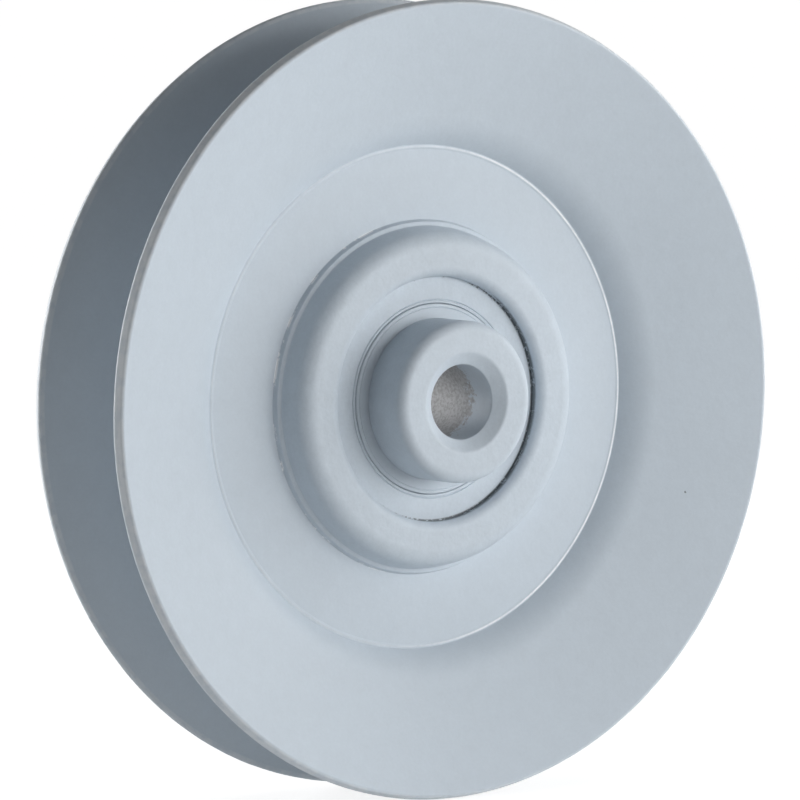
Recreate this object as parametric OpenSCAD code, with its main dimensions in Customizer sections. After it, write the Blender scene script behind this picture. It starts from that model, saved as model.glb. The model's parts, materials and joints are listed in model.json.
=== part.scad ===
// Idler pulley for a V-belt: two pressed sheet halves closed on a ball bearing,
// with a turned spacer bush that stands out at the front.
// The axle line is Y, the origin lies on it midway between the two halves,
// and the nose of the bush points towards -Y.

/* [Pulley halves] */
// Outside diameter over the rims
rim_diameter = 101.6; // [90:0.1:125]
// Angle between the two flanges of the belt groove, in degrees
groove_angle = 44; // [34:0.5:56]
// Thickness of the pressed sheet
sheet_thickness = 1.6; // [1.2:0.1:2]
// Radius of the broken edges of the rim
rim_edge_round = 0.25; // [0.1:0.05:0.5]
// Diameter of the flat web, to the foot of the step
web_diameter = 65; // [58:0.1:72]
// Distance of the raised line on the web from the foot of the step
web_line_inset = 0.5; // [0.4:0.05:1.5]
// Width of the raised line
web_line_width = 0.7; // [0.4:0.05:0.8]
// Height of the raised line
web_line_height = 0.12; // [0.05:0.01:0.2]
// Inside radius of the bend at the foot of the step
step_foot_radius = 0.2; // [0.1:0.05:0.5]
// Radial width of the step from the web to the flange
step_width = 1.65; // [1.4:0.05:2.2]
// Height of the step above the web's face
step_height = 1.85; // [1.6:0.05:2.4]
// Inside radius of the bend from the step to the flange
step_bend_radius = 3.4; // [1:0.1:4]

/* [Drawn hub] */
// Draft of the hub's wall, in degrees
hub_draft = 15; // [5:0.5:20]
// Inside radius of the bend at the foot of the hub
hub_foot_radius = 0.3; // [0.1:0.05:1]
// Inside radius of the bend at the hub's shoulder
hub_bend_radius = 0.6; // [0.3:0.05:0.9]
// How far the hub's lip covers the bearing's face
lip_overlap = 4.4; // [3.6:0.05:5]
// Rounding at the mouth of the lip's hole, as a share of the sheet
lip_edge_share = 0.8; // [0.3:0.05:0.9]

/* [Bearing rings] */
// Outside diameter of the bearing
bearing_diameter = 40; // [37:0.1:46]
// Width of the bearing
bearing_width = 9.525; // [8.5:0.005:12]
// Bore of the inner ring
bearing_bore = 17; // [15:0.1:19]
// Height of a ring's shoulders over its raceway, as a share of the ball's diameter
shoulder_share = 0.2; // [0.16:0.005:0.22]
// Chamfer at the ends of the inner ring's bore
ring_chamfer = 0.6; // [0.5:0.05:0.8]
// Chamfer at the shoulders of the inner ring
shoulder_chamfer = 0.2; // [0.1:0.05:0.4]

/* [Balls] */
// Largest ball as a share of the height from bore to outside
ball_height_share = 0.595; // [0.5:0.005:0.61]
// Largest ball as a share of the bearing's width
ball_width_share = 0.71; // [0.6:0.005:0.72]
// Number of balls
ball_count = 8; // [6:1:9]
// Radius of a raceway as a share of the ball's diameter
raceway_ratio = 0.52; // [0.51:0.005:0.54]

/* [Cage] */
// Thickness of the cage strip
cage_thickness = 0.4; // [0.3:0.05:0.5]
// Radial width of the cage strip
cage_width = 2.3; // [1.8:0.1:2.4]
// Diameter of a rivet's shank
rivet_diameter = 1; // [0.7:0.05:1.2]
// Diameter of a rivet's head
rivet_head_diameter = 1.8; // [1.5:0.05:2]
// Height of a rivet's head
rivet_head_height = 0.35; // [0.2:0.05:0.5]

/* [Shields] */
// Thickness of a shield
shield_thickness = 0.5; // [0.3:0.05:0.55]
// Depth of a shield below the bearing's face
shield_recess = 0.1; // [0:0.05:0.15]
// Gap between a shield and the inner ring
shield_gap = 0.15; // [0.1:0.05:0.6]
// Height of the lip that turns in round a shield's hole
shield_lip = 0.3; // [0.1:0.05:0.35]
// Radial width of the ledge in the outer ring that holds a shield
shield_ledge = 0.75; // [0.4:0.05:1]

/* [Spacer bush] */
// Bore for the bolt
bolt_bore = 9.525; // [8:0.005:12]
// How far the nose stands out over the inner ring's bore
nose_shoulder = 1.8; // [1:0.05:2.6]
// Length of the nose in front of the bearing
nose_length = 7.05; // [4:0.05:14]
// Rounding of the nose's edge
nose_edge_round = 0.9; // [0.4:0.05:1.5]
// Length of the tail behind the bearing
tail_length = 2.2; // [1:0.05:5]
// Chamfer at the tail's outer edge
tail_chamfer = 0.5; // [0.2:0.05:1]
// Width of the countersink round the bore in the nose
nose_countersink_width = 1.55; // [0.5:0.05:2]
// Depth of the countersink in the nose
nose_countersink_depth = 0.85; // [0.3:0.05:1.5]
// Chamfer at the bore's tail end
tail_countersink = 0.6; // [0.2:0.05:1]

/* [Fits] */
// Radial play of a ball between the raceways
ball_play = 0.05; // [0.02:0.01:0.1]
// Radial play of a ball in its cage pocket
pocket_play = 0.12; // [0.08:0.01:0.2]
// Radial allowance drawn at a press fit
press_allowance = 0.01; // [0.005:0.005:0.02]
// How much larger the bearing's corner is broken than the bend it sits in
corner_room = 0.1; // [0.05:0.05:0.3]

/* [Hidden] */
// Facets of a full turn
$fn = 128;
// Room for one half of a cut to pass its face cleanly
cut_room = 1;
// How far a straight strip of the sheet runs into the bends beside it
strip_lap = 0.002;
rim_radius = rim_diameter / 2;
flange_angle = groove_angle / 2;
web_radius = web_diameter / 2;
web_line_bend = (pow(web_line_width / 2, 2) + pow(web_line_height, 2)) / (2 * web_line_height);
crease = [web_radius + step_width, sheet_thickness + step_height];
rim_corner_reach = rim_edge_round + (sheet_thickness - rim_edge_round) * sin(flange_angle);
flange_length = (rim_radius - rim_corner_reach - crease.x) / cos(flange_angle) + rim_edge_round;
bearing_radius = bearing_diameter / 2;
bearing_face = bearing_width / 2;
seat_chamfer = hub_bend_radius + corner_room;
hub_top = bearing_face + sheet_thickness;
lip_hole_radius = bearing_radius - lip_overlap;
lip_edge_round = lip_edge_share * sheet_thickness;
bore_to_outside = (bearing_diameter - bearing_bore) / 2;
ball_diameter = min(ball_height_share * bore_to_outside, ball_width_share * bearing_width);
ball_radius = ball_diameter / 2;
pitch_radius = (bearing_bore + bore_to_outside) / 2;
shoulder_height = shoulder_share * ball_diameter;
raceway_radius = raceway_ratio * ball_diameter;
inner_raceway_center = pitch_radius - ball_radius - ball_play + raceway_radius;
outer_raceway_center = pitch_radius + ball_radius + ball_play - raceway_radius;
inner_shoulder_radius = pitch_radius - ball_radius - ball_play + shoulder_height;
outer_shoulder_radius = pitch_radius + ball_radius + ball_play - shoulder_height;
shield_face = bearing_face - shield_recess;
shield_back = shield_face - shield_thickness;
shield_seat_radius = outer_shoulder_radius + shield_ledge;
shield_bore_radius = inner_shoulder_radius + shield_gap;
pocket_radius = ball_radius + pocket_play;
cage_inner_radius = pitch_radius - cage_width / 2;
cage_outer_radius = pitch_radius + cage_width / 2;
bore_radius = bolt_bore / 2;
bush_radius = bearing_bore / 2 - press_allowance;
nose_radius = bearing_bore / 2 + nose_shoulder;
nose_countersink_radius = bore_radius + nose_countersink_width;
nose_face = bearing_face + nose_length;
tail_face = bearing_face + tail_length;

paint = [0.74, 0.78, 0.82];
steel = [0.72, 0.72, 0.73];
cage_steel = [0.66, 0.64, 0.6];

// Direction of ball i, counted from the top
function ball_angle(i) = 90 + (i - 1) * 360 / ball_count;

// Outside radius of the hub's wall at height h: inside, the wall rests on the bearing's broken corner
function hub_wall(h) =
    bearing_radius + (press_allowance + sheet_thickness) / cos(hub_draft)
    + (bearing_face - seat_chamfer - h) * tan(hub_draft);

// Corners of the sheet's front face before it is bent, from the lip's hole out to the rim
sheet_corners = [
    [lip_hole_radius, hub_top],
    [hub_wall(hub_top), hub_top],
    [hub_wall(sheet_thickness), sheet_thickness],
    [web_radius, sheet_thickness],
    crease,
    crease + flange_length * [cos(flange_angle), sin(flange_angle)],
];
// Inside radius of the bend at each corner between the two ends
bend_radii = [0, hub_bend_radius, hub_foot_radius, step_foot_radius, step_bend_radius, 0];
last_run = len(sheet_corners) - 2;

// The straight run of sheet that starts at corner k, its rise, and the turn it takes from the run before
function run(k) = sheet_corners[k + 1] - sheet_corners[k];
function rise(k) = atan2(run(k).y, run(k).x);
function turn(k) = rise(k) - rise(k - 1);

// Direction from the front face to the back in run k
function inwards(k) = [sin(rise(k)), -cos(rise(k))];

// Radius of the front face in the bend at corner k, and the bend's centre behind or before the sheet
function front_radius(k) = bend_radii[k] + (turn(k) < 0 ? sheet_thickness : 0);
function bend_center(k) =
    let (a = inwards(k - 1), b = inwards(k))
    sheet_corners[k] - sign(turn(k)) * front_radius(k) * (a + b) / (1 + a * b);

// How much of each run the bend or the rounded end at corner k takes
function taken(k) =
    k == 0 ? lip_edge_round : k > last_run ? rim_edge_round : front_radius(k) * tan(abs(turn(k)) / 2);

// Lays the axle of what is drawn along Z down on Y, with +Z turned to the front
module on_axle() {
    rotate([90, 0, 0]) children();
}

// Turns a half section, drawn as radius and height, about the axle
module turned() {
    on_axle() rotate_extrude() children();
}

// The same piece on the rear side of the middle plane
module to_rear() {
    mirror([0, 1, 0]) children();
}

// A part of a ring round the point c, between radii r and s, from angle a to angle b
module ring_part(c, r, s, a, b) {
    m = (a + b) / 2;
    reach = 2 * s;
    translate(c) intersection() {
        difference() {
            circle(r = s);
            if (r > 0) circle(r = r);
        }
        polygon([[0, 0], reach * [cos(a), sin(a)], reach * [cos(m), sin(m)], reach * [cos(b), sin(b)]]);
    }
}

// The bend at corner k
module sheet_bend(k) {
    side = turn(k) < 0 ? 90 : -90;
    r = bend_radii[k];
    ring_part(bend_center(k), r, r + sheet_thickness, rise(k - 1) + side, rise(k) + side);
}

// Places what is drawn in run k, with X along the run from corner p and the back of the sheet at Y = 0
module in_run(k, p) {
    translate(p) rotate(rise(k)) translate([0, -sheet_thickness]) children();
}

// The straight strip of run k
module sheet_strip(k) {
    in_run(k, sheet_corners[k]) translate([taken(k) - strip_lap, 0])
        square([norm(run(k)) - taken(k) - taken(k + 1) + 2 * strip_lap, sheet_thickness]);
}

// Half section of one pressed half
module half_section() {
    for (k = [0:last_run]) sheet_strip(k);
    for (k = [1:last_run]) sheet_bend(k);
    lip_mouth(lip_edge_round);
    rim_end(rim_edge_round);
    translate([web_radius - web_line_inset, sheet_thickness + web_line_height - web_line_bend])
        circle(r = web_line_bend);
}

// The mouth of the lip's hole, rounded by e at the front
module lip_mouth(e) {
    in_run(0, sheet_corners[0]) {
        square([e, sheet_thickness - e]);
        quarter_disc([e, sheet_thickness - e], e, 90);
    }
}

// The end of the sheet at the rim, with both corners broken by e
module rim_end(e) {
    in_run(last_run, sheet_corners[last_run + 1]) {
        translate([-e, e]) square([e, sheet_thickness - 2 * e]);
        quarter_disc([-e, sheet_thickness - e], e, 0);
        quarter_disc([-e, e], e, -90);
    }
}

// A quarter disc of radius e round the point c, starting at angle a
module quarter_disc(c, e, a) {
    translate(c) rotate(a) intersection() {
        circle(r = e);
        square(e + cut_room);
    }
}

module front_half() {
    color(paint) turned() half_section();
}

module rear_half() {
    color(paint) to_rear() turned() half_section();
}

module outer_ring() {
    c = seat_chamfer;
    color(steel) turned() difference() {
        polygon([
            [outer_shoulder_radius, -bearing_face],
            [bearing_radius - c, -bearing_face],
            [bearing_radius, -bearing_face + c],
            [bearing_radius, bearing_face - c],
            [bearing_radius - c, bearing_face],
            [outer_shoulder_radius, bearing_face],
        ]);
        translate([outer_raceway_center, 0]) circle(r = raceway_radius);
        for (side = [0, 1]) mirror([0, side])
            translate([0, shield_back]) square([shield_seat_radius, bearing_face]);
    }
}

module inner_ring() {
    bore = bearing_bore / 2;
    c = ring_chamfer;
    s = shoulder_chamfer;
    color(paint) turned() difference() {
        polygon([
            [bore, -bearing_face + c],
            [bore + c, -bearing_face],
            [inner_shoulder_radius - s, -bearing_face],
            [inner_shoulder_radius, -bearing_face + s],
            [inner_shoulder_radius, bearing_face - s],
            [inner_shoulder_radius - s, bearing_face],
            [bore + c, bearing_face],
            [bore, bearing_face - c],
        ]);
        translate([inner_raceway_center, 0]) circle(r = raceway_radius);
    }
}

module ball(i) {
    color(steel) on_axle() rotate(ball_angle(i)) translate([pitch_radius, 0, 0]) sphere(r = ball_radius);
}

// One pressed strip of the cage, with a pocket over each ball
module cage_half() {
    on_axle() difference() {
        intersection() {
            difference() {
                cylinder(r = cage_outer_radius, h = pocket_radius + cut_room);
                translate([0, 0, -cut_room])
                    cylinder(r = cage_inner_radius, h = pocket_radius + 3 * cut_room);
            }
            union() {
                cylinder(r = cage_outer_radius + cut_room, h = cage_thickness);
                at_balls() sphere(r = pocket_radius + cage_thickness);
            }
        }
        at_balls() sphere(r = pocket_radius);
        at_rivets() cylinder(r = rivet_diameter / 2 + press_allowance, h = 2 * cut_room, center = true);
    }
}

module at_balls() {
    for (i = [1:ball_count]) rotate(ball_angle(i)) translate([pitch_radius, 0, 0]) children();
}

module at_rivets() {
    for (i = [1:ball_count]) rotate(ball_angle(i + 0.5)) translate([pitch_radius, 0, 0]) children();
}

module front_cage_half() {
    color(cage_steel) cage_half();
}

module rear_cage_half() {
    color(cage_steel) to_rear() cage_half();
}

module cage_rivets() {
    color(cage_steel) on_axle() at_rivets() {
        cylinder(r = rivet_diameter / 2, h = 2 * cage_thickness, center = true);
        for (side = [0, 1]) mirror([0, 0, side])
            translate([0, 0, cage_thickness]) cylinder(r = rivet_head_diameter / 2, h = rivet_head_height);
    }
}

// Half section of a shield: a flat ring whose bore edge turns in towards the balls
module shield_section() {
    e = shield_thickness;
    translate([shield_bore_radius + e, shield_back])
        square([shield_seat_radius - press_allowance - shield_bore_radius - e, e]);
    quarter_disc([shield_bore_radius + e, shield_back], e, 90);
    translate([shield_bore_radius, shield_back - shield_lip]) square([e, shield_lip]);
}

module front_shield() {
    color(paint) turned() shield_section();
}

module rear_shield() {
    color(paint) to_rear() turned() shield_section();
}

module spacer_bush() {
    e = nose_edge_round;
    color(paint) turned() {
        polygon([
            [bore_radius, -tail_face + tail_countersink],
            [bore_radius + tail_countersink, -tail_face],
            [bush_radius - tail_chamfer, -tail_face],
            [bush_radius, -tail_face + tail_chamfer],
            [bush_radius, bearing_face],
            [nose_radius, bearing_face],
            [nose_radius, nose_face - e],
            [nose_radius - e, nose_face],
            [nose_countersink_radius, nose_face],
            [bore_radius, nose_face - nose_countersink_depth],
        ]);
        translate([nose_radius - e, nose_face - e]) circle(r = e);
    }
}

front_half();
rear_half();
outer_ring();
inner_ring();
spacer_bush();
front_shield();
rear_shield();
front_cage_half();
rear_cage_half();
cage_rivets();
for (i = [1:ball_count]) {
    ball(i);
}
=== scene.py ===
# %% [markdown]
# # An idler pulley for a V-belt
# The pulley is two pressed steel halves, closed back to back on a shielded ball bearing.
# A turned bush goes through the bearing and stands out at the front as a nose.
# The solids come from the CAD model and set the main sizes here. Blender adds the soft
# bends, small forms such as fine grooves and a low collar, the paint and the light.
# All lengths in the sections below are millimetres.

# %% Load the frame and keep its box
import json
import math

import bmesh
import bpy
from mathutils import Matrix, Vector


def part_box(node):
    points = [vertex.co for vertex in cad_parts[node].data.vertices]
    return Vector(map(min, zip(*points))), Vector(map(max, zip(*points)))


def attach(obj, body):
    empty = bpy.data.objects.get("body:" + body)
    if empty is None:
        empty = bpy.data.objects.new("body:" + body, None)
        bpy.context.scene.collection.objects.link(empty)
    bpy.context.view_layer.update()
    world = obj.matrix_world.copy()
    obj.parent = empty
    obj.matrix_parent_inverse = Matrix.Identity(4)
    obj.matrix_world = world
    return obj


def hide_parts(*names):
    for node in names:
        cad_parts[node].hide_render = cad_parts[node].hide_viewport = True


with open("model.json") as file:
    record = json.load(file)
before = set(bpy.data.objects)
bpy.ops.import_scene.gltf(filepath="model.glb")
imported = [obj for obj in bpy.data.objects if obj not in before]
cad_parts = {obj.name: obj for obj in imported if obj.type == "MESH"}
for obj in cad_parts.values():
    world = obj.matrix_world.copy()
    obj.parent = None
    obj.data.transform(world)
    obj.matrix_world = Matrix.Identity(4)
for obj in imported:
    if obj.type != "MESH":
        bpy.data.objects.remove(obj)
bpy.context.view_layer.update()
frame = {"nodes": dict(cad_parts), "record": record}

MM = 0.001

# %% [markdown]
# ## Sizes that the solids give
# The axle lies along Y and the nose points towards -Y. A section is drawn as radius and
# height, where height counts from the middle plane towards the front. Reading the main
# sizes from the solids' boxes keeps every piece on its solid.

# %% Read the main sizes
def reach(node):
    """Radius, front height and rear height of a node, in millimetres."""
    low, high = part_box(node)
    return high.x / MM, -low.y / MM, high.y / MM


rim_radius, _, _ = reach("front_half")
inner_land, bearing_face, _ = reach("inner_ring")
nose_radius, nose_face, tail_face = reach("spacer_bush")
shield_radius, shield_face, _ = reach("front_shield")
bearing_radius, _, _ = reach("outer_ring")
print("rim", round(rim_radius, 3), "bearing", round(bearing_radius, 3), "nose", round(nose_radius, 3))

# %% [markdown]
# ## A section with rounded corners
# Pressed and turned pieces have no knife edges: each bend has a radius and each edge is
# broken. A section is therefore a list of corners, each with its own rounding. A point
# close to each end of a rounding holds the flat beside it flat, so that smooth shading
# stays clean. Bevels on the finished mesh would be slower and less exact.

# %% Helper for rounded sections
def rounded_section(corners, steps=8, hold=0.05):
    """Closed outline through (radius, height, rounding) corners, as (radius, height) points."""
    count = len(corners)
    spots = [Vector(corner[:2]) for corner in corners]
    backs, aheads, cuts = [], [], []
    for k, (_, _, rounding) in enumerate(corners):
        back, ahead = spots[k - 1] - spots[k], spots[(k + 1) % count] - spots[k]
        backs.append(back)
        aheads.append(ahead)
        cuts.append(rounding / math.tan(back.angle(ahead) / 2))
    points = []
    for k, (_, _, rounding) in enumerate(corners):
        spot, back, ahead, cut = spots[k], backs[k], aheads[k], cuts[k]
        to_back, to_ahead = back.normalized(), ahead.normalized()
        half = back.angle(ahead) / 2
        middle = spot + (to_back + to_ahead).normalized() * (rounding / math.sin(half))
        first, last = spot + to_back * cut - middle, spot + to_ahead * cut - middle
        sweep = math.pi - 2 * half
        if back.length - cut - cuts[k - 1] > 3 * hold:
            points.append(spot + to_back * (cut + hold))
        for step in range(steps + 1):
            share = step / steps
            points.append(middle + (first * math.sin((1 - share) * sweep) + last * math.sin(share * sweep))
                          / math.sin(sweep))
        if ahead.length - cut - cuts[(k + 1) % count] > 3 * hold:
            points.append(spot + to_ahead * (cut + hold))
    return points


rounded_square = rounded_section([(1, 0, 0.1), (2, 0, 0.1), (2, 1, 0.1), (1, 1, 0.1)])
print("a square with rounded corners has", len(rounded_square), "points")

# %% [markdown]
# ## Short ways to add nodes
# Shapes, paint and steel are built from many small nodes. They could be placed by hand in the
# node editors. In a script each node takes several lines, so a small class shortens the usual
# ones: sums, soft steps, noise and blends of two colours.

# %% Helper for node trees
class Board:
    """Short ways to add nodes to one node tree."""

    def __init__(self, tree):
        self.nodes, self.links = tree.nodes, tree.links

    def put(self, socket, value):
        if isinstance(value, bpy.types.NodeSocket):
            self.links.new(value, socket)
        else:
            socket.default_value = value

    def add(self, kind, inputs=None, **settings):
        node = self.nodes.new(kind)
        for key, value in settings.items():
            setattr(node, key, value)
        for key, value in (inputs or {}).items():
            self.put(node.inputs[key], value)
        return node

    def math(self, operation, a, b=0.0, clamp=False):
        return self.add("ShaderNodeMath", {0: a, 1: b}, operation=operation, use_clamp=clamp).outputs[0]

    def whole(self, operation, a, b):
        return self.add("FunctionNodeIntegerMath", {0: a, 1: b}, operation=operation).outputs[0]

    def ramp(self, value, low, high, start=0.0, end=1.0):
        return self.add("ShaderNodeMapRange", {"Value": value, "From Min": low, "From Max": high,
                                               "To Min": start, "To Max": end},
                        interpolation_type="SMOOTHSTEP").outputs["Result"]

    def noise(self, place, scale, detail=2.0, roughness=0.5):
        return self.add("ShaderNodeTexNoise", {"Vector": place, "Scale": scale, "Detail": detail,
                                               "Roughness": roughness}).outputs["Fac"]

    def blend(self, share, a, b):
        node = self.add("ShaderNodeMix", data_type="RGBA")
        self.put(node.inputs["Factor"], share)
        colours = [socket for socket in node.inputs if socket.type == "RGBA"]
        self.put(colours[0], a)
        self.put(colours[1], b)
        return [socket for socket in node.outputs if socket.type == "RGBA"][0]

    def radius(self, parts):
        """Distance from the axle, from separated coordinates."""
        squares = [self.math("MULTIPLY", parts[k], parts[k]) for k in (0, 2)]
        return self.math("SQRT", self.math("ADD", *squares))

    def seen(self):
        """One for rays from the camera and for mirrored or passed rays, and zero for light."""
        rays = self.add("ShaderNodeLightPath").outputs
        direct = self.math("ADD", rays["Is Camera Ray"], rays["Is Glossy Ray"])
        return self.math("ADD", direct, rays["Is Transmission Ray"], clamp=True)


print("short ways:", ", ".join(name for name in vars(Board) if not name.startswith("_")))

# %% [markdown]
# ## One turning tree for all round pieces
# Every visible piece here is round, so its shape follows one rule: a section turned about
# the axle. Geometry Nodes lay a grid over section and turn, and move each grid point to its
# place. A noise with fixed values roughens the edge of the sheet, as shearing leaves it.
# A spin in mesh code would do as well, but the tree keeps the rule and its inputs together.

# %% Build the turning tree
SHEAR_SCALE, SHEAR_DETAIL, SHEAR_MIDDLE = 420.0, 4.0, 0.6
SEAM = 1e-7


def turning_tree():
    tree = bpy.data.node_groups.new("turned_from_section", "GeometryNodeTree")
    for label, kind in (("Section", "NodeSocketGeometry"), ("Section points", "NodeSocketInt"),
                        ("Steps round", "NodeSocketInt"), ("Edge wear", "NodeSocketFloat"),
                        ("Wear starts at", "NodeSocketFloat"), ("Finish", "NodeSocketMaterial")):
        tree.interface.new_socket(label, in_out="INPUT", socket_type=kind)
    tree.interface.new_socket("Piece", in_out="OUTPUT", socket_type="NodeSocketGeometry")
    board = Board(tree)
    given, out = board.add("NodeGroupInput").outputs, board.add("NodeGroupOutput").inputs
    count, steps = given["Section points"], given["Steps round"]

    # A grid with a row for each section point, a column for each step, and one more of both to close
    columns = board.whole("ADD", steps, 1)
    grid = board.add("GeometryNodeMeshGrid", {"Vertices X": board.whole("ADD", count, 1),
                                              "Vertices Y": columns})
    index = board.add("GeometryNodeInputIndex").outputs[0]
    row = board.whole("DIVIDE_FLOOR", index, columns)
    column = board.whole("SUBTRACT", index, board.whole("MULTIPLY", row, columns))
    sample = board.add("GeometryNodeSampleIndex", {
        "Geometry": given["Section"], "Value": board.add("GeometryNodeInputPosition").outputs[0],
        "Index": board.whole("MODULO", row, count)}, data_type="FLOAT_VECTOR")
    radius, height, _ = board.add("ShaderNodeSeparateXYZ", {0: sample.outputs["Value"]}).outputs
    turn = board.math("DIVIDE", board.math("MULTIPLY", column, 2 * math.pi), steps)

    def place(distance):
        return board.add("ShaderNodeCombineXYZ", {
            0: board.math("MULTIPLY", distance, board.math("COSINE", turn)), 1: height,
            2: board.math("MULTIPLY", distance, board.math("SINE", turn))}).outputs[0]

    # Noise moves the points near the edge in or out a little
    noise = board.noise(place(radius), scale=SHEAR_SCALE, detail=SHEAR_DETAIL)
    near_edge = board.math("GREATER_THAN", radius, given["Wear starts at"])
    uneven = board.math("MULTIPLY", board.math("SUBTRACT", noise, SHEAR_MIDDLE), near_edge)
    worn = board.math("MULTIPLY", uneven, given["Edge wear"])
    chain = [board.add("GeometryNodeSetPosition", {"Geometry": grid.outputs["Mesh"],
                                                   "Position": place(board.math("ADD", radius, worn))}),
             board.add("GeometryNodeMergeByDistance", {"Distance": SEAM}),
             board.add("GeometryNodeSetShadeSmooth"), board.add("GeometryNodeRealizeInstances"),
             board.add("GeometryNodeSetMaterial", {"Material": given["Finish"]})]
    for first, second in zip(chain, chain[1:]):
        board.put(second.inputs["Geometry"], first.outputs["Geometry"])
    board.put(out["Piece"], chain[-1].outputs["Geometry"])
    return tree


turning = turning_tree()
print("turning tree:", len(turning.nodes), "nodes")

# %% [markdown]
# ## From a section to a piece
# A lathe or a press would make each real piece. Here a helper hands the section to the turning
# tree, keeps the result as a plain mesh and sets it in place of its CAD node. The modifier
# could stay live, but a plain mesh is what an export takes and the shape doesn't change later.

# %% Helper that turns a section into a finished piece
STEPS_ROUND = 288


def turned_piece(name, section, body, node, finish, steps=STEPS_ROUND, wear=0.0, wear_from=1.0,
                 rear=False):
    """Turns a section, converts it to a plain mesh and sets it in place of a CAD node."""
    side = 1 if rear else -1
    line = bpy.data.meshes.new(name + "_section")
    count = len(section)
    line.from_pydata([(p.x * MM, side * p.y * MM, 0) for p in section],
                     [(k, (k + 1) % count) for k in range(count)], [])
    piece = bpy.data.objects.new(name, line)
    bpy.context.scene.collection.objects.link(piece)
    modifier = piece.modifiers.new("turning", "NODES")
    modifier.node_group = turning
    values = {"Section points": count, "Steps round": steps, "Edge wear": wear * MM,
              "Wear starts at": wear_from * MM, "Finish": finish}
    for item in turning.interface.items_tree:
        if item.in_out == "INPUT" and item.name in values:
            modifier[item.identifier] = values[item.name]
    bpy.context.view_layer.update()
    mesh = bpy.data.meshes.new_from_object(piece.evaluated_get(bpy.context.evaluated_depsgraph_get()))
    piece.modifiers.remove(modifier)
    piece.data = mesh
    mesh.name = name
    work = bmesh.new()
    work.from_mesh(mesh)
    bmesh.ops.recalc_face_normals(work, faces=work.faces)
    work.to_mesh(mesh)
    work.free()
    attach(piece, body)
    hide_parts(node)
    print(name, "has", len(mesh.polygons), "faces")
    return piece


print("steps round a piece:", STEPS_ROUND)

# %% [markdown]
# ## Starting a shader group
# Paint, steel and dirt come up in several finishes. Each could be built anew in every material.
# A group holds its nodes once and shows only the values that change, so all finishes agree.

# %% Helpers for shader groups
def colour(red, green, blue):
    """A screen colour from 0 to 255 as the linear colour that nodes take."""
    def line(value):
        value /= 255
        return value / 12.92 if value <= 0.04045 else ((value + 0.055) / 1.055) ** 2.4
    return (line(red), line(green), line(blue), 1.0)


def new_group(name, inputs, outputs):
    """An empty shader group with its sockets, its board and its input and output nodes."""
    tree = bpy.data.node_groups.new(name, "ShaderNodeTree")
    kinds = {"value": "NodeSocketFloat", "colour": "NodeSocketColor", "place": "NodeSocketVector"}
    for label, kind, default in inputs:
        socket = tree.interface.new_socket(label, in_out="INPUT", socket_type=kinds[kind])
        if default is not None:
            socket.default_value = default
    for label, kind in outputs:
        tree.interface.new_socket(label, in_out="OUTPUT", socket_type=kinds[kind])
    board = Board(tree)
    return tree, board, tree.nodes.new("NodeGroupInput").outputs, tree.nodes.new("NodeGroupOutput").inputs


print("screen grey 128 is", round(colour(128, 128, 128)[0], 3), "in linear light")

# %% [markdown]
# ## The paint
# One thin coat of satin blue-grey paint covers almost everything. Seen close up it has a
# fine grain, slow changes of tone, a few pits where dirt sat, and a slight orange peel.
# One group makes those effects, and each painted finish takes them with its own values.
# Patterns read Object coordinates, so they stay on the piece as it turns.

# %% The paint coat group
PIT_COLOUR = colour(118, 124, 130)
PIT_PICK, PIT_OUTER, PIT_INNER, PIT_DEPTH = 0.9, 0.045, 0.028, 1.2


def paint_coat_group():
    tree, board, given, out = new_group(
        "paint_coat",
        [("Place", "place", None), ("Paint", "colour", None), ("Tone change", "value", 0.055),
         ("Pits", "value", 1.0), ("Orange peel", "value", 0.5)],
        [("Colour", "colour"), ("Roughness", "value"), ("Height", "value")])
    place = given["Place"]
    slow = board.noise(place, scale=70.0, detail=3.0)
    fine = board.noise(place, scale=2600.0, detail=2.0)
    cloud = board.noise(place, scale=520.0, detail=2.0)
    tone = board.math("SUBTRACT", board.math("ADD", board.math("ADD", slow, cloud), fine), 1.5)
    lift = board.math("ADD", board.math("MULTIPLY", tone, given["Tone change"]), 1.0)
    toned = board.add("ShaderNodeVectorMath", {0: given["Paint"]}, operation="SCALE")
    board.put(toned.inputs["Scale"], lift)
    spots = board.add("ShaderNodeTexVoronoi", {"Vector": place, "Scale": 150.0, "Randomness": 1.0})
    chance = board.add("ShaderNodeSeparateColor", {0: spots.outputs["Color"]}).outputs[0]
    picked = board.math("GREATER_THAN", chance, PIT_PICK)
    ragged = board.math("MULTIPLY", board.noise(place, scale=5200.0, detail=1.0), 0.03)
    dot = board.ramp(board.math("ADD", spots.outputs["Distance"], ragged), PIT_OUTER, PIT_INNER)
    pit = board.math("MULTIPLY", board.math("MULTIPLY", picked, dot), given["Pits"], clamp=True)
    dark = board.blend(pit, toned.outputs["Vector"], PIT_COLOUR)
    board.put(out["Colour"], dark)
    board.put(out["Roughness"], board.math("ADD", board.math("MULTIPLY", slow, 0.08),
                                           board.math("MULTIPLY", pit, 0.2)))
    waves = board.math("MULTIPLY", board.noise(place, scale=1100.0, detail=2.0), given["Orange peel"])
    peel = board.math("ADD", waves, board.math("MULTIPLY", fine, 0.06))
    board.put(out["Height"], board.math("SUBTRACT", peel, board.math("MULTIPLY", pit, PIT_DEPTH)))
    return tree


paint_coat = paint_coat_group()
print("paint coat group:", len(paint_coat.nodes), "nodes")

# %% [markdown]
# ## Bare steel
# The coat doesn't reach everywhere. The bolt bore is bare and rough from the tool, and
# the bearing's inside is ground or polished steel. This group gives steel its fine scratches
# round the axle: the noise is stretched along the turn by reading radius and height only.

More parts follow.
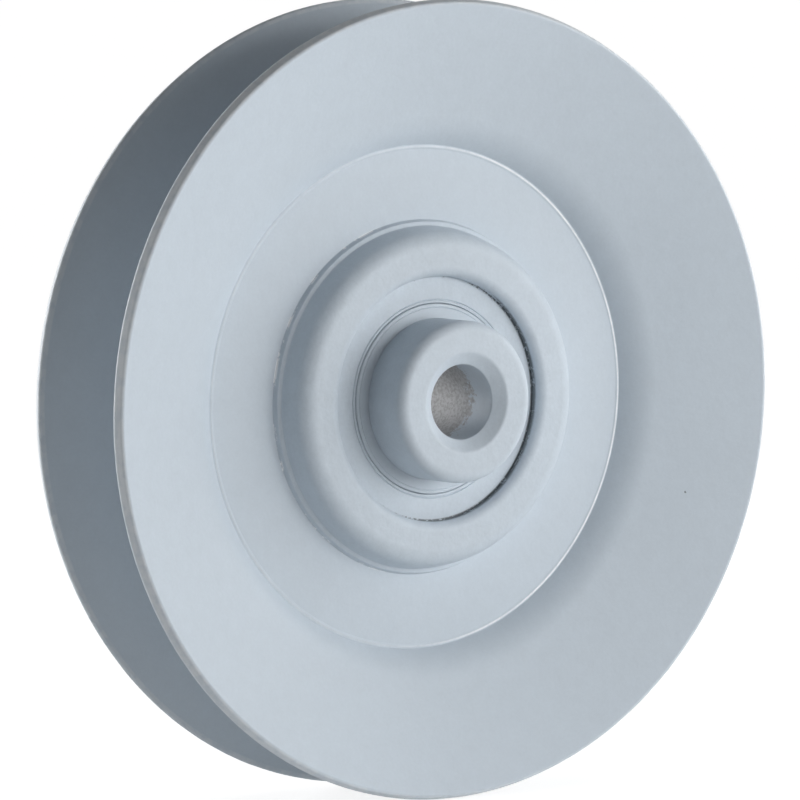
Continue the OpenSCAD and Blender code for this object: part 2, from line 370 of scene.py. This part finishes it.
# %% The bare steel group
def bare_steel_group():
    tree, board, given, out = new_group(
        "bare_steel",
        [("Place", "place", None), ("Steel", "colour", None), ("Scratches", "value", 0.1),
         ("Scratch scale", "value", 6000.0), ("Polish", "value", 0.3)],
        [("Colour", "colour"), ("Roughness", "value"), ("Height", "value")])
    parts = board.add("ShaderNodeSeparateXYZ", {0: given["Place"]}).outputs
    radius = board.radius(parts)
    turn = board.add("ShaderNodeCombineXYZ", {0: radius, 1: parts[1]}).outputs[0]
    lines = board.noise(turn, scale=given["Scratch scale"], detail=3.0, roughness=0.7)
    blotch = board.noise(given["Place"], scale=900.0, detail=3.0)
    change = board.math("MULTIPLY", board.math("SUBTRACT", board.math("ADD", lines, blotch), 1.0),
                        given["Scratches"])
    toned = board.add("ShaderNodeVectorMath", {0: given["Steel"]}, operation="SCALE")
    board.put(toned.inputs["Scale"], board.math("ADD", change, 1.0))
    board.put(out["Colour"], toned.outputs["Vector"])
    board.put(out["Roughness"], board.math("ADD", given["Polish"], board.math("MULTIPLY", change, 0.6)))
    board.put(out["Height"], lines)
    return tree


bare_steel = bare_steel_group()
print("bare steel group:", len(bare_steel.nodes), "nodes")

# %% [markdown]
# ## Starting a finish
# Every finish begins alike: a Principled shader, the piece's own coordinates, one or two groups
# and a bump from a height. Copying a material and changing it would do the same. Helpers keep
# each finish down to the lines in which it differs.

# %% Helper that starts a material
def new_finish(name):
    """A material with its board, its Principled shader and the piece's own coordinates."""
    material = bpy.data.materials.new(name)
    material.use_nodes = True
    board = Board(material.node_tree)
    shader = next(node for node in board.nodes if node.type == "BSDF_PRINCIPLED")
    place = board.add("ShaderNodeTexCoord").outputs["Object"]
    return material, board, shader, place


def add_group(board, tree, **values):
    node = board.add("ShaderNodeGroup", node_tree=tree)
    for label, value in values.items():
        board.put(node.inputs[label.replace("_", " ")], value)
    return node.outputs


def add_bump(board, shader, height, depth):
    bump = board.add("ShaderNodeBump", {"Height": height, "Distance": depth, "Strength": 1.0})
    board.put(shader.inputs["Normal"], bump.outputs["Normal"])


print("groups to use:", ", ".join(tree.name for tree in (paint_coat, bare_steel)))

# %% [markdown]
# ## Paint on the inner ring
# The ring's end face was sprayed together with the rest. It shows the coat alone, so its
# finish is the plain case: the paint group feeds colour, roughness and bump. The gloss is the
# same all over, so it is set on the shader itself.

# %% Inner ring finish
PAINT = colour(198, 208, 217)
PAINT_ROUGHNESS, PAINT_GLOSS = 0.42, 0.25
THIN_PEEL_DEPTH = 0.01 * MM


def set_paint(board, shader, shade, roughness, height, depth):
    """Links colour, roughness and bump, and gives the shader the paint's dull gloss."""
    board.put(shader.inputs["Base Color"], shade)
    board.put(shader.inputs["Roughness"], roughness)
    shader.inputs["Specular IOR Level"].default_value = PAINT_GLOSS
    add_bump(board, shader, height, depth)


def ring_finish_of():
    material, board, shader, place = new_finish("ring_paint")
    coat = add_group(board, paint_coat, Place=place, Paint=PAINT, Pits=0.6, Orange_peel=1.2)
    roughness = board.math("ADD", coat["Roughness"], PAINT_ROUGHNESS)
    set_paint(board, shader, coat["Colour"], roughness, coat["Height"], THIN_PEEL_DEPTH)
    return material


ring_finish = ring_finish_of()
print("ring finish:", len(ring_finish.node_tree.nodes), "nodes")

# %% [markdown]
# ## Broken coat and painted shade at the lip
# Where the coat broke between the hub's lip and the shield it leaves dark specks, and the crevice is darkened
# in the colour as painted shade, mostly on one side. It could be painted by hand as a mask. A ring of noise
# at the lip's radius needs no picture and follows the sizes. Sheet and shield share that mark, so it is a
# group.

# %% The crevice group: broken coat and painted shade
LIP_OVERLAP = 4.4
LIP_RADIUS = bearing_radius - LIP_OVERLAP
CREVICE_TOP, CREVICE_FULL = bearing_face + 0.8, bearing_face + 0.4


def crevice_gap_and_shade_group():
    tree, board, given, out = new_group(
        "crevice_gap_and_shade", [("Place", "place", None), ("Edge", "value", 0.0), ("Spread", "value", 0.0003)],
        [("Radius", "value"), ("Gap and shade", "value")])
    place = given["Place"]
    parts = board.add("ShaderNodeSeparateXYZ", {0: place}).outputs
    radius = board.radius(parts)
    off = board.math("ABSOLUTE", board.math("SUBTRACT", radius, given["Edge"]))
    near = board.ramp(off, given["Spread"], board.math("MULTIPLY", given["Spread"], 0.4))
    low = board.ramp(board.math("ABSOLUTE", parts[1]), CREVICE_TOP * MM, CREVICE_FULL * MM)
    # Stronger towards the right and lower right: painted shade on the side where the crevice lies in shadow
    side = board.math("SUBTRACT", parts[0], board.math("MULTIPLY", parts[2], 0.5))
    shade_side = board.ramp(side, -4.0 * MM, 9.0 * MM, 0.0, 0.2)
    grain = board.math("ADD", board.noise(place, scale=1700.0, detail=4.0, roughness=0.7), shade_side)
    speck = board.ramp(grain, 0.58, 0.66)
    board.put(out["Radius"], radius)
    board.put(out["Gap and shade"], board.math("MULTIPLY", board.math("MULTIPLY", near, low), speck))
    return tree


crevice_gap_and_shade = crevice_gap_and_shade_group()
print("crevice dirt group:", len(crevice_gap_and_shade.nodes), "nodes")

# %% [markdown]
# ## The shield's finish
# The shield was sprayed through the hub's hole, so its coat is uneven and the orange peel is
# stronger. It takes the paint group with larger values and lays the crevice mark over it: specks where the
# coat broke, and painted shade. A second paint would work too, but one coat with other values keeps the
# colours together.

# %% Shield finish
# Colour of the crevice at the lip: painted shade, with specks where the coat broke
GAP_AND_SHADE = colour(118, 124, 128)
PEEL_DEPTH = 0.03 * MM
CLOSE_TONE = 0.11


def shield_finish_of():
    material, board, shader, place = new_finish("shield_paint")
    coat = add_group(board, paint_coat, Place=place, Paint=PAINT, Pits=0.6, Orange_peel=1.6,
                     Tone_change=CLOSE_TONE)
    # The crevice at the lip is darkened: painted shade with specks of broken coat
    gap_and_shade = add_group(board, crevice_gap_and_shade, Place=place, Edge=LIP_RADIUS * MM, Spread=0.26 * MM)["Gap and shade"]
    roughness = board.math("ADD", coat["Roughness"], PAINT_ROUGHNESS)
    set_paint(board, shader, board.blend(gap_and_shade, coat["Colour"], GAP_AND_SHADE), roughness, coat["Height"], PEEL_DEPTH)
    return material


shield_finish = shield_finish_of()
print("shield finish:", len(shield_finish.node_tree.nodes), "nodes")

# %% [markdown]
# ## The halves' finish
# The coat is thin and rubbed along the rim, and there its colour is also lightened as a painted highlight on
# the rounded edge. Glints on the sharp lines round the hub's foot and the web are painted highlights in the
# colour, each kept to one side. The crevice at the lip takes broken coat and painted shade. These marks could
# follow the mesh's curvature, but the sharp lines are circles, so the distance from each circle gives a
# cleaner mask. Noise breaks it up.

# %% Sheet finish
# The first colour lightens the rim as rubbed wear and as a painted highlight; the second is a painted
# highlight
RUBBED_AND_LIT, GLINT = colour(217, 223, 228), colour(246, 248, 250)
COLLAR_FOOT, LINE_RADIUS = 2.75, 31.95
FOOT_RADIUS, LINE_SPOT = bearing_radius + COLLAR_FOOT, LINE_RADIUS + 0.1
FLANGE_TONE, WORN_BAND = 0.065, 0.75


def sheet_finish_of():
    material, board, shader, place = new_finish("sheet_paint")
    # The crevice at the lip is darkened: painted shade with specks of broken coat; the same mask also dips
    # the bump
    crevice = add_group(board, crevice_gap_and_shade, Place=place, Edge=LIP_RADIUS * MM, Spread=0.2 * MM)
    radius, gap_and_shade = crevice["Radius"], crevice["Gap and shade"]
    outside, on_hub = (FOOT_RADIUS + 0.5) * MM, (FOOT_RADIUS - 2.0) * MM
    peel = board.ramp(radius, outside, on_hub, 0.7, 1.8)
    mottle = board.ramp(radius, outside, on_hub, FLANGE_TONE, CLOSE_TONE)
    coat = add_group(board, paint_coat, Place=place, Paint=PAINT, Pits=1.0, Orange_peel=peel,
                     Tone_change=mottle)
    # Along the rim the colour is lightened: rubbed wear and a painted highlight on the rounded edge
    at_rim = board.ramp(radius, (rim_radius - WORN_BAND) * MM, (rim_radius - 0.5) * MM)
    rubbed_and_lit = board.math("MULTIPLY", at_rim,
                        board.ramp(board.noise(place, scale=800.0, detail=3.0), 0.35, 0.6, 0.3, 0.9))
    # Painted highlights: glints painted into the colour on the hub's foot, on the left, and on the web's
    # line, strongest on the right
    off_foot = board.math("ABSOLUTE", board.math("SUBTRACT", radius, FOOT_RADIUS * MM))
    off_line = board.math("ABSOLUTE", board.math("SUBTRACT", radius, LINE_SPOT * MM))
    across = board.add("ShaderNodeSeparateXYZ", {0: place}).outputs[0]
    on_foot = board.math("MULTIPLY", board.ramp(off_foot, 0.14 * MM, 0.05 * MM),
                         board.ramp(across, -4.0 * MM, -10.0 * MM))
    on_line = board.math("MULTIPLY", board.ramp(off_line, 0.2 * MM, 0.06 * MM),
                         board.ramp(across, -5.0 * MM, 20.0 * MM, 0.25, 1.0))
    patches = board.noise(place, scale=240.0, detail=5.0, roughness=0.75)
    glint = board.math("MAXIMUM", board.math("MULTIPLY", on_foot, board.ramp(patches, 0.5, 0.58)),
                       board.math("MULTIPLY", on_line, board.ramp(patches, 0.35, 0.6, 0.5, 1.0)))
    # The rim's colour with rubbed wear and the painted highlight
    bare = board.blend(rubbed_and_lit, coat["Colour"], RUBBED_AND_LIT)
    lit = board.blend(glint, bare, GLINT)
    roughness = board.math("ADD", coat["Roughness"], PAINT_ROUGHNESS)
    height = board.math("SUBTRACT", coat["Height"], board.math("MULTIPLY", gap_and_shade, 4.0))
    set_paint(board, shader, board.blend(gap_and_shade, lit, GAP_AND_SHADE), roughness, height, PEEL_DEPTH)
    return material


sheet_finish = sheet_finish_of()
print("sheet finish:", len(sheet_finish.node_tree.nodes), "nodes")

# %% [markdown]
# ## The bush's finish
# The nose is painted with the rest, and the spray carries a few millimetres into the bore.
# Past that the bore is bare, grey and mottled. Two materials would leave a hard border, so one
# material blends paint and steel by depth, and a noise makes the border ragged.

# %% Bush finish
BORE = 4.7625
BORE_STEEL, BORE_SPOTS = colour(188, 189, 191), colour(126, 123, 122)
SPRAY_REACH, SPRAY_LEAST = 10.0 * MM, 0.5 * MM


def bush_finish_of():
    material, board, shader, place = new_finish("bush_paint")
    coat = add_group(board, paint_coat, Place=place, Paint=PAINT, Pits=0.5, Orange_peel=1.4,
                     Tone_change=CLOSE_TONE)
    steel = add_group(board, bare_steel, Place=place, Steel=BORE_STEEL, Scratches=0.12,
                      Scratch_scale=3800.0, Polish=0.7)
    parts = board.add("ShaderNodeSeparateXYZ", {0: place}).outputs
    radius = board.radius(parts)
    inside = board.math("LESS_THAN", radius, (BORE + 0.05) * MM)
    depth = board.math("ADD", parts[1], nose_face * MM)
    border = board.noise(place, scale=900.0, detail=5.0, roughness=0.8)
    reach_in = board.math("ADD", board.math("MULTIPLY", border, SPRAY_REACH), SPRAY_LEAST)
    past = board.ramp(board.math("SUBTRACT", depth, reach_in), -0.3 * MM, 0.3 * MM)
    bare = board.math("MULTIPLY", inside, past)
    mottled = board.noise(place, scale=2400.0, detail=3.0, roughness=0.7)
    spots = board.math("MULTIPLY", board.ramp(mottled, 0.42, 0.62), 0.45)
    worn = board.blend(spots, steel["Colour"], BORE_SPOTS)
    board.put(shader.inputs["Metallic"], board.math("MULTIPLY", bare, 0.1))
    painted = board.math("ADD", coat["Roughness"], PAINT_ROUGHNESS)
    change = board.math("MULTIPLY", board.math("SUBTRACT", steel["Roughness"], painted), bare)
    height = board.math("ADD", coat["Height"], board.math("MULTIPLY", steel["Height"], bare))
    set_paint(board, shader, board.blend(bare, coat["Colour"], worn), board.math("ADD", painted, change),
              height, PEEL_DEPTH)
    return material


bush_finish = bush_finish_of()
print("bush finish:", len(bush_finish.node_tree.nodes), "nodes")

# %% [markdown]
# ## Steel inside the bearing
# Outer ring, balls and cage hardly show, but they are there when the part is opened. The
# ring is ground, the balls are polished and the cage is pressed strip. They could be turned
# like the rest, but the solids are exact enough, so they only take a finish.

# %% Steel finishes on the CAD nodes
SCRATCH_DEPTH = 0.002 * MM


def steel_finish(name, tint, scratches, scale, polish):
    material, board, shader, place = new_finish(name)
    steel = add_group(board, bare_steel, Place=place, Steel=tint, Scratches=scratches,
                      Scratch_scale=scale, Polish=polish)
    board.put(shader.inputs["Base Color"], steel["Colour"])
    board.put(shader.inputs["Roughness"], steel["Roughness"])
    shader.inputs["Metallic"].default_value = 1.0
    add_bump(board, shader, steel["Height"], SCRATCH_DEPTH)
    return material


finish_of = {
    "ring_steel": steel_finish("ring_steel", colour(200, 200, 202),
                               scratches=0.12, scale=9000.0, polish=0.3),
    "ball_steel": steel_finish("ball_steel", colour(214, 214, 216),
                               scratches=0.04, scale=2600.0, polish=0.12),
    "cage_steel": steel_finish("cage_steel", colour(186, 182, 174),
                               scratches=0.15, scale=5200.0, polish=0.36),
}
for entry in frame["record"]["subparts"]:
    if entry["material_slot"] in finish_of:
        node = frame["nodes"][entry["node"]]
        for slot in node.material_slots:
            slot.material = finish_of[entry["material_slot"]]
print("steel:", ", ".join(finish_of))

# %% [markdown]
# ## The two pressed halves
# Each half is one stamping of 1.6 mm sheet. From the axle outwards it has a lip that keeps
# the bearing in, a drawn hub with a low collar, a flat web with a raised line, a step and
# the cone flange. The front face is a list of corners, each with the inside radius of its
# bend. The back face follows one sheet thickness behind. A Solidify modifier would do nearly
# the same, but here the thickness stays even round every bend.

# %% Section of a pressed half
SHEET, FLANGE_ANGLE, RIM_ROUND = 1.6, math.radians(20.9), 0.42
LIP_ROUND, LIP_BACK_ROUND = 1.28, 0.12
HUB_DRAFT, HUB_BEND, HUB_FOOT = math.radians(15), 0.6, 0.3
SEAT_CHAMFER, SEAT_GAP = 0.7, 0.01
WEB_RADIUS, STEP_WIDTH, STEP_HEIGHT, STEP_FOOT, STEP_BEND = 32.3, 1.45, 2.075, 0.06, 6.3
LINE_WIDTH, LINE_CORNER, LINE_ROUNDS = 0.5, 0.1, (0.1, 0.3, 0.02)
COLLAR_ROOT, COLLAR_TOP, COLLAR_HEIGHT, COLLAR_SLOPE = 1.95, 2.5, 0.7, 0.1
COLLAR_ROUNDS = (0.2, 0.15, 0.03)


def sheet_face():
    """Corners of the front face as (radius, height), and the inside radii of their bends."""
    hub_top = bearing_face + SHEET

    def hub_wall(height):
        return (bearing_radius + (SEAT_GAP + SHEET) / math.cos(HUB_DRAFT)
                + (bearing_face - SEAT_CHAMFER - height) * math.tan(HUB_DRAFT))

    crease = Vector((WEB_RADIUS + STEP_WIDTH, SHEET + STEP_HEIGHT))
    along = Vector((math.cos(FLANGE_ANGLE), math.sin(FLANGE_ANGLE)))
    corner_reach = RIM_ROUND + (SHEET - RIM_ROUND) * along.y
    length = (rim_radius - corner_reach - crease.x) / along.x + RIM_ROUND
    corners = [Vector((LIP_RADIUS, hub_top)), Vector((hub_wall(hub_top), hub_top)),
               Vector((hub_wall(SHEET), SHEET)), Vector((WEB_RADIUS, SHEET)), crease, crease + along * length]
    return corners, [None, HUB_BEND, HUB_FOOT, STEP_FOOT, STEP_BEND, None]


def half_section():
    """Outline of the sheet along its front face and back again, with a collar and a raised line."""
    corners, bends = sheet_face()
    ways = [(b - a).normalized() for a, b in zip(corners, corners[1:])]
    inwards = [Vector((way.y, -way.x)) for way in ways]
    front = [(*corners[0], LIP_ROUND)]
    back = [(*(corners[0] + inwards[0] * SHEET), LIP_BACK_ROUND)]
    for k in range(1, len(corners) - 1):
        a, b = inwards[k - 1], inwards[k]
        bulges = ways[k - 1].cross(ways[k]) < 0
        front.append((*corners[k], bends[k] + (SHEET if bulges else 0)))
        back.append((*(corners[k] + SHEET * (a + b) / (1 + a.dot(b))), bends[k] + (0 if bulges else SHEET)))
    front.append((*corners[-1], RIM_ROUND))
    back.append((*(corners[-1] + inwards[-1] * SHEET), RIM_ROUND))
    half = LINE_WIDTH / 2
    line = [(LINE_RADIUS - half, SHEET, LINE_ROUNDS[0]),
            (LINE_RADIUS, SHEET + LINE_CORNER, LINE_ROUNDS[1]),
            (LINE_RADIUS + half, SHEET, LINE_ROUNDS[2])]
    collar = [(bearing_radius + COLLAR_ROOT, SHEET + COLLAR_HEIGHT + COLLAR_SLOPE, COLLAR_ROUNDS[0]),
              (bearing_radius + COLLAR_TOP, SHEET + COLLAR_HEIGHT, COLLAR_ROUNDS[1]),
              (FOOT_RADIUS, SHEET, COLLAR_ROUNDS[2])]
    # The collar takes the place of the plain bend at the hub's foot
    return rounded_section(front[:2] + collar + line + front[3:] + back[::-1])


sheet_outline = half_section()
print("section of a half:", len(sheet_outline), "points")

# %% [markdown]
# ## Turning the halves
# Both halves come from the same press tool and lie back to back. The rear one could be a
# mirrored object. Turning the same section with its height reversed leaves no mirror scale
# behind. A little wear at the rim stands for the sheared edge.

# %% Turn the two halves
RIM_STEPS, RIM_WEAR = 360, 0.08
for name, node, rear in (("front_sheet", "front_half", False), ("rear_sheet", "rear_half", True)):
    turned_piece(name, sheet_outline, "pulley", node, sheet_finish, steps=RIM_STEPS,
                 wear=RIM_WEAR, wear_from=rim_radius - WORN_BAND, rear=rear)

# %% [markdown]
# ## The shields
# A shield is a thin ring with its bore edge turned in. A fine pressed groove runs round its
# bore. A bump could show it, but the groove catches the light, so it is modelled.

# %% Turn the shields
def fine_groove(radius, face, half_width, depth, rounding):
    """Corners of a shallow groove in a flat face."""
    return [(radius - half_width, face, rounding), (radius, face - depth, rounding),
            (radius + half_width, face, rounding)]


SHIELD_SHEET, SHIELD_LIP, SHIELD_GAP, SHIELD_GROOVE = 0.5, 0.3, 0.06, 0.42
INNER_EDGE, BORE_EDGE, OUTER_EDGE = 0.05, 0.12, 0.06
shield_back = shield_face - SHIELD_SHEET
shield_bore = inner_land + SHIELD_GAP
shield_outline = rounded_section([
    (shield_bore, shield_back - SHIELD_LIP, INNER_EDGE),
    (shield_bore, shield_face, BORE_EDGE),
    *fine_groove(shield_bore + SHIELD_GROOVE, shield_face, half_width=0.12, depth=0.2, rounding=0.05),
    (shield_radius, shield_face, OUTER_EDGE),
    (shield_radius, shield_back, OUTER_EDGE),
    (shield_bore + SHIELD_SHEET, shield_back, INNER_EDGE),
    (shield_bore + SHIELD_SHEET, shield_back - SHIELD_LIP, INNER_EDGE),
])
for name, node, rear in (("front_cover", "front_shield", False), ("rear_cover", "rear_shield", True)):
    turned_piece(name, shield_outline, "pulley", node, shield_finish, rear=rear)

# %% [markdown]
# ## The inner ring
# Only the ring's end face shows, with one fine turned line. Behind it the ring carries the
# raceway, an arc a little wider than the ball. A flat washer would look the same from here,
# but with the raceway the piece matches its solid when the bearing is opened.

# %% Turn the inner ring
PITCH, BALL = 14.25, 3.381375
BALL_GAP, RACEWAY = 0.05, 0.52 * 2 * BALL
RING_BORE, RING_CHAMFER, RING_LINE = 8.5, 0.5, 0.5
FRONT_EDGE, REAR_EDGE, RACE_EDGE = 0.2, 0.15, 0.03
RING_STEPS, ARC_STEPS = 240, 24
# A rounded corner has nine points on its arc and two that hold the flats beside it
CORNER_POINTS = 11
groove_middle = PITCH - BALL - BALL_GAP + RACEWAY
groove_half = math.sqrt(RACEWAY ** 2 - (groove_middle - inner_land) ** 2)
ring_outline = rounded_section([
    (RING_BORE, -bearing_face, RING_CHAMFER), (RING_BORE, bearing_face, RING_CHAMFER),
    *fine_groove(inner_land - RING_LINE, bearing_face, half_width=0.08, depth=0.1, rounding=0.02),
    (inner_land, bearing_face, FRONT_EDGE), (inner_land, groove_half, RACE_EDGE),
])
start = math.atan2(groove_half, inner_land - groove_middle)
for step in range(1, ARC_STEPS):
    angle = start + (2 * math.pi - 2 * start) * step / ARC_STEPS
    ring_outline.append(Vector((groove_middle + RACEWAY * math.cos(angle), RACEWAY * math.sin(angle))))
rear_corners = rounded_section([
    (inner_land, -groove_half, RACE_EDGE), (inner_land, -bearing_face, REAR_EDGE),
    (RING_BORE, -bearing_face, RING_CHAMFER),
])
# The corner at the bore closes this list but is already in the outline
ring_outline += rear_corners[:2 * CORNER_POINTS]
turned_piece("bearing_inner", ring_outline, "hub", "inner_ring", ring_finish, steps=RING_STEPS)

# %% [markdown]
# ## The bush's shape
# The bush is turned from bar. Its nose has a well rounded edge and a countersink that leads
# the bolt in, and its shank fills the ring's bore. A bevelled cylinder with a hole cut through
# would need a boolean. One closed section gives bore, shank and nose together.

# %% Turn the bush
SHANK = RING_BORE - SEAT_GAP
TAIL_SINK, TAIL_CHAMFER, TAIL_EDGE, SHOULDER_EDGE = 0.6, 0.5, 0.1, 0.05
NOSE_ROUND, SINK_WIDTH, SINK_DEPTH, SINK_ROUND, SINK_FOOT = 1.3, 1.6, 1.2, 0.7, 0.25
bush_outline = rounded_section([
    (BORE, -tail_face + TAIL_SINK, TAIL_EDGE), (BORE + TAIL_SINK, -tail_face, TAIL_EDGE),
    (SHANK - TAIL_CHAMFER, -tail_face, TAIL_EDGE), (SHANK, -tail_face + TAIL_CHAMFER, TAIL_EDGE),
    (SHANK, bearing_face, SHOULDER_EDGE), (nose_radius, bearing_face, SHOULDER_EDGE),
    (nose_radius, nose_face, NOSE_ROUND), (BORE + SINK_WIDTH, nose_face, SINK_ROUND),
    (BORE, nose_face - SINK_DEPTH, SINK_FOOT),
])
turned_piece("bush", bush_outline, "hub", "spacer_bush", bush_finish)

# %% [markdown]
# ## Floor
# The pulley stands on a pale floor that looks white to the camera and in reflections, but gives
# little light, so that the lamps alone shape the object. A shadow catcher would need a second
# step. Here the floor keeps a soft shadow by itself, because its white is weaker where the
# pulley stands close above it.

# %% Floor
FLOOR_GLOW = 0.05
SHADOW_REACH, SHADOW_LEVEL = 0.09, 0.89
NEAR, NEAR_WHITE, NEAR_SHARE = 0.12, 1.6, 0.55
FAR, FAR_WHITE, FAR_SHARE = 0.5, 1.03, 0.97


def floor_finish():
    material, board, shader, place = new_finish("pale_floor")
    shader.inputs["Base Color"].default_value = (0.9, 0.9, 0.9, 1.0)
    shader.inputs["Roughness"].default_value = 0.9
    shader.inputs["Emission Color"].default_value = (1.0, 1.0, 1.0, 1.0)
    shader.inputs["Emission Strength"].default_value = FLOOR_GLOW
    open_air = board.add("ShaderNodeAmbientOcclusion", {"Distance": SHADOW_REACH}).outputs["AO"]
    white = board.add("ShaderNodeEmission", {"Color": (1.0, 1.0, 1.0, 1.0)})
    away = board.add("ShaderNodeVectorMath", {0: place}, operation="LENGTH").outputs["Value"]
    level = board.math("MULTIPLY", board.ramp(away, NEAR, FAR, NEAR_WHITE, FAR_WHITE),
                       board.ramp(open_air, 0.35, 0.95, SHADOW_LEVEL, 1.0))
    board.put(white.inputs["Strength"], level)
    share = board.ramp(away, NEAR, FAR, NEAR_SHARE, FAR_SHARE)
    mix = board.add("ShaderNodeMixShader", {0: board.math("MULTIPLY", board.seen(), share)})
    board.links.new(shader.outputs[0], mix.inputs[1])
    board.links.new(white.outputs[0], mix.inputs[2])
    board.links.new(mix.outputs[0], board.nodes["Material Output"].inputs["Surface"])
    return material


FLOOR_HALF, FLOOR_GAP = 40.0, 0.0002
floor_level = -rim_radius * MM - FLOOR_GAP
floor_mesh = bpy.data.meshes.new("floor")
floor_mesh.from_pydata([(x * FLOOR_HALF, y * FLOOR_HALF, floor_level)
                        for x, y in ((-1, -1), (1, -1), (1, 1), (-1, 1))], [], [(0, 1, 2, 3)])
floor = bpy.data.objects.new("floor", floor_mesh)
bpy.context.scene.collection.objects.link(floor)
floor_mesh.materials.append(floor_finish())
print("floor at", round(floor_level / MM, 2), "mm")

# %% [markdown]
# ## Sky
# A white backdrop fills the picture behind the pulley. As a real light it would flatten every
# wall, so it is white only for rays that see it. For light it is nearly dark.

# %% Sky
SKY = 0.01
world = bpy.data.worlds.new("studio")
world.use_nodes = True
bpy.context.scene.world = world
sky = Board(world.node_tree)
background = next(node for node in sky.nodes if node.type == "BACKGROUND")
background.inputs["Color"].default_value = (1.0, 1.0, 1.0, 1.0)
sky.put(background.inputs["Strength"], sky.math("ADD", sky.math("MULTIPLY", sky.seen(), 1.0 - SKY), SKY))
print("sky gives", SKY, "as light")

# %% [markdown]
# ## Lamps
# Two soft lamps at the front right do most of the work. A wide panel further round lights the
# flange on the far side. Little comes from the left, so walls that face that way stay dark.
# Two lamps behind light the bore and the rim's edge. Square lamps give soft edges to the
# shadows, which a sun or a point lamp would not.

# %% Lamps
def soft_lamp(name, azimuth, elevation, distance, size, power):
    """A square lamp that looks at the axle, placed by angles in degrees and metres."""
    a, e = math.radians(azimuth), math.radians(elevation)
    towards = Vector((math.sin(a) * math.cos(e), -math.cos(a) * math.cos(e), math.sin(e)))
    lamp = bpy.data.lights.new(name, "AREA")
    lamp.size, lamp.energy = size, power
    holder = bpy.data.objects.new(name, lamp)
    holder.location = towards * distance
    holder.rotation_euler = towards.to_track_quat("Z", "Y").to_euler()
    bpy.context.scene.collection.objects.link(holder)


soft_lamp("front_right", azimuth=32, elevation=6, distance=0.42, size=0.26, power=0.55)
soft_lamp("front", azimuth=18, elevation=0, distance=0.5, size=0.34, power=1.2)
soft_lamp("far_right", azimuth=72, elevation=6, distance=0.55, size=0.5, power=1.95)
soft_lamp("rear_left", azimuth=-152, elevation=6, distance=0.6, size=0.4, power=3.4)
soft_lamp("left_edge", azimuth=-108, elevation=4, distance=0.6, size=0.4, power=0.65)
print("lamps:", ", ".join(lamp.name for lamp in bpy.data.lights))

# %% [markdown]
# ## Camera
# The camera stands at the front left, a little above the axle, with a long lens. It could be
# placed by eye. A fit of the pulley's circles is more exact, and two small offsets centre the
# picture.

# %% Camera
CAMERA_AZIMUTH, CAMERA_ELEVATION = math.radians(-35.62), math.radians(4.79)
CAMERA_DISTANCE, FOCAL_PIXELS, PICTURE_WIDTH = 0.650, 5074, 800
SIDE_OFFSET, UP_OFFSET, SENSOR = -0.001621, -0.000479, 36.0
sa, ca = math.sin(CAMERA_AZIMUTH), math.cos(CAMERA_AZIMUTH)
se, ce = math.sin(CAMERA_ELEVATION), math.cos(CAMERA_ELEVATION)
towards_camera = Vector((sa * ce, -ca * ce, se))
rightwards = Vector((ca, sa, 0.0))
upwards = towards_camera.cross(rightwards)
lens = bpy.data.cameras.new("camera")
lens.sensor_width = SENSOR
lens.lens = SENSOR * FOCAL_PIXELS / PICTURE_WIDTH
lens.clip_start = 0.01
camera = bpy.data.objects.new("camera", lens)
turn = Matrix((rightwards, upwards, towards_camera)).transposed()
camera.matrix_world = Matrix.Translation(towards_camera * CAMERA_DISTANCE + rightwards * SIDE_OFFSET
                                         + upwards * UP_OFFSET) @ turn.to_4x4()
bpy.context.scene.collection.objects.link(camera)
bpy.context.scene.camera = camera
bpy.context.scene.view_settings.view_transform = "Standard"
print("camera lens", round(lens.lens, 1), "mm")

# %% [markdown] The dressed pulley should fill the box of its solids and
# no more.
